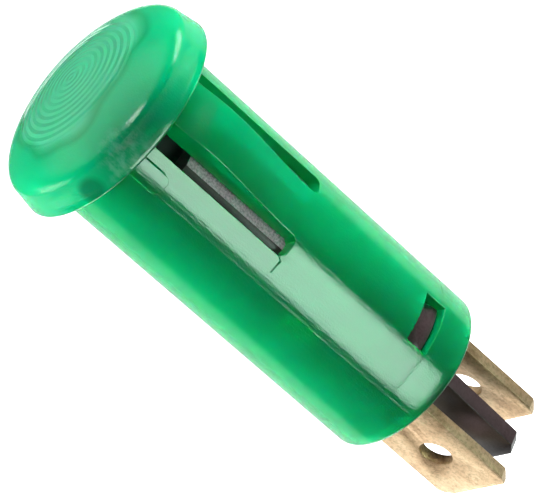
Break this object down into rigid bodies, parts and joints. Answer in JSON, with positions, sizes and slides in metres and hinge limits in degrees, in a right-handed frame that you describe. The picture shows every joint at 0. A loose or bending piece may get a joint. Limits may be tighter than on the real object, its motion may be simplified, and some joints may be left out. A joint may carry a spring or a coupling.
{
  "type": "panel pilot light",
  "caption": "Snap-in panel pilot light: green translucent lens and barrel moulded in one, black carrier and two push-on tabs split by a barrier.",
  "frame": {"origin": "on the light's axis, in the plane of the seating face under the head, where the front of the panel bears", "axes": "+Z out through the lens, +Y and -Y through the spring tongues and catch windows, +X and -X through the two tabs"},
  "size_m": [0.0159, 0.0158, 0.0411],
  "materials": {
    "green_lens": "translucent green, glossy",
    "black_plastic": "black moulding, fine texture",
    "tab_brass": "bare brass strip, lightly scratched",
    "lamp_glass": "clear",
    "nickel": "nickel plated",
    "tinned_wire": "tinned copper",
    "sleeving": "flexible insulating sleeve",
    "resistor_coat": "lacquered ceramic",
    "solder": "solder, satin"
  },
  "bodies": {
    "root": {"lens_housing": "green_lens", "carrier": "black_plastic", "tab_right": "tab_brass", "tab_left": "tab_brass", "lamp_glass": "lamp_glass", "electrode_front": "nickel", "electrode_rear": "nickel", "lamp_lead_front": "tinned_wire", "lamp_lead_rear": "tinned_wire", "lead_sleeve": "sleeving", "resistor_body": "resistor_coat", "resistor_cap_top": "nickel", "resistor_cap_bottom": "nickel", "resistor_lead_top": "tinned_wire", "resistor_lead_bottom": "tinned_wire", "splice_solder": "solder", "splice_sleeve": "sleeving", "tail_solder_right": "solder", "tail_solder_left": "solder"}
  },
  "joints": []
}
